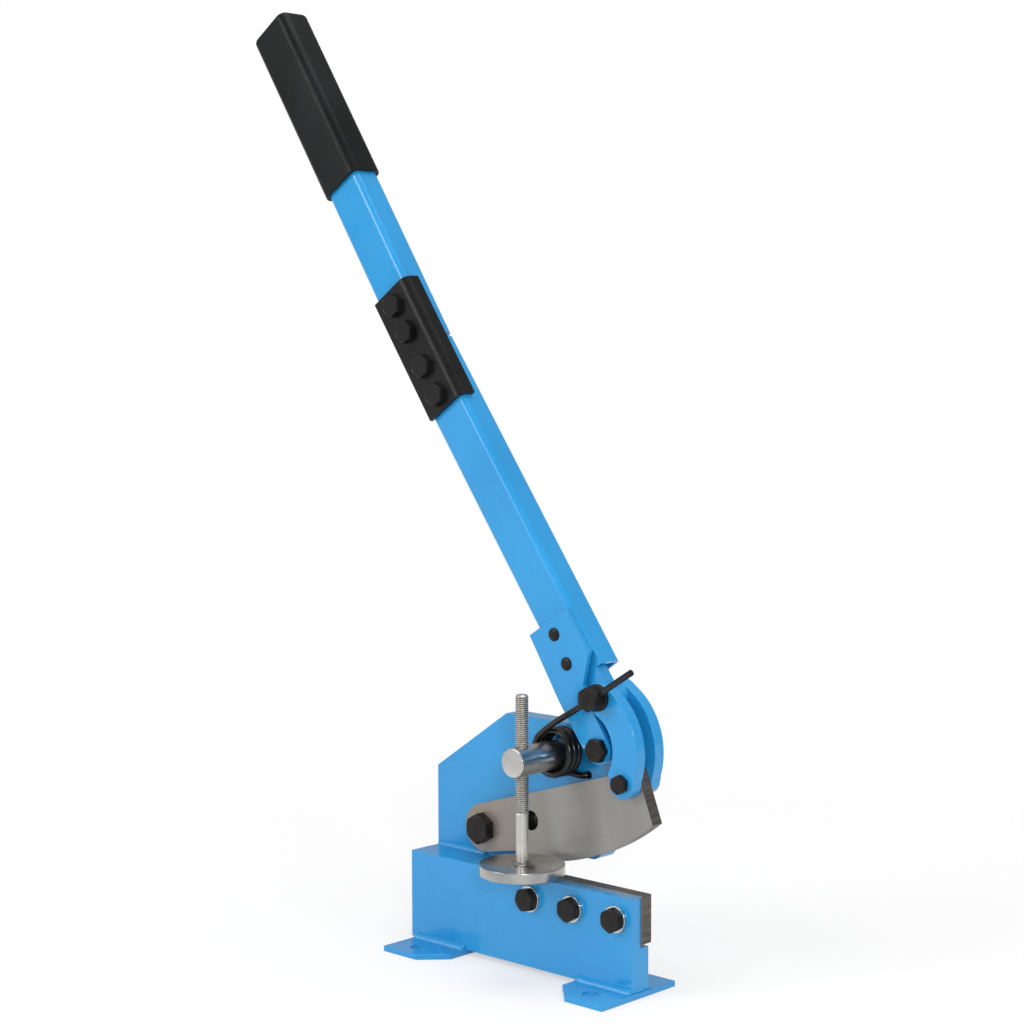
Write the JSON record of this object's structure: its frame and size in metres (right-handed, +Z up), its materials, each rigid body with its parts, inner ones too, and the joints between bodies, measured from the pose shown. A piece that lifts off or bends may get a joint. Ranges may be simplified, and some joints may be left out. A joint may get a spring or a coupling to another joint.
{
  "type": "lever shear",
  "caption": "Bench lever shear with a long jointed hand lever, link-driven curved upper blade, fixed lower blade, spring return and a screw hold-down disc on a bolt-down base.",
  "frame": {"origin": "Middle of the four bench bolt holes, on the underside of the feet.", "axes": "+Z up; +X towards the open end of the jaws, where the work goes in; -Y towards the operator, the side with the bolt heads."},
  "size_m": [0.3437, 0.089, 0.5963],
  "materials": {
    "blue_paint": "gloss",
    "blade_steel": "brushed",
    "dark_steel": "satin",
    "bright_steel": "satin",
    "black_sleeve": "gloss",
    "black_plastic": "matt"
  },
  "bodies": {
    "frame": {"left_foot": "blue_paint", "right_foot": "blue_paint", "lower_block": "blue_paint", "filler_bar": "blue_paint", "rear_plate": "blue_paint", "frame_welds": "blue_paint", "lower_blade": "blade_steel", "lower_blade_bolts": "dark_steel", "lower_blade_washers": "bright_steel", "blade_pivot_bolt": "dark_steel", "blade_pivot_nut": "dark_steel", "lever_pivot_bolt": "dark_steel", "lever_pivot_nut": "dark_steel", "hold_down_bar": "bright_steel", "torsion_spring": "dark_steel"},
    "lever": {"head_plate": "blue_paint", "lever_bar": "blue_paint", "head_screws": "dark_steel", "spring_stud": "dark_steel", "stud_nut": "dark_steel", "lower_tube": "blue_paint", "upper_tube": "blue_paint", "joint_sleeve": "black_sleeve", "sleeve_bolts": "dark_steel", "sleeve_nuts": "dark_steel", "grip": "black_plastic"},
    "blade": {"upper_blade": "blade_steel"},
    "links": {"front_link": "blue_paint", "rear_link": "blue_paint", "link_bolt": "dark_steel", "link_nut": "dark_steel"},
    "hold_down": {"hold_down_screw": "bright_steel", "hold_down_disc": "bright_steel"}
  },
  "joints": [
    {"name": "lever_swing", "type": "hinge", "parent": "frame", "child": "lever", "pos_m": [0.054, 0.015, 0.1394], "axis": [0, 1, 0], "range_deg": [0, 92], "stiffness_Nm_per_rad": 1.5, "springref_deg": -20.05, "deforming": ["torsion_spring"]},
    {"name": "blade_swing", "type": "hinge", "parent": "frame", "child": "blade", "pos_m": [-0.0445, 0.015, 0.0773], "axis": [0, 1, 0], "range_deg": [0, 17.9]},
    {"name": "link_swing", "type": "hinge", "parent": "lever", "child": "links", "pos_m": [0.0568, 0.015, 0.1712], "axis": [0, 1, 0], "range_deg": [-68.7, 0]},
    {"name": "hold_down_travel", "type": "slide", "parent": "frame", "child": "hold_down", "axis": [0, 0, 1], "range_m": [-0.0048, 0.022]}
  ],
  "couplings": [
    {"joint": "blade_swing", "follows": "lever_swing", "ratio": 0.1942},
    {"joint": "link_swing", "follows": "lever_swing", "ratio": -0.746}
  ]
}
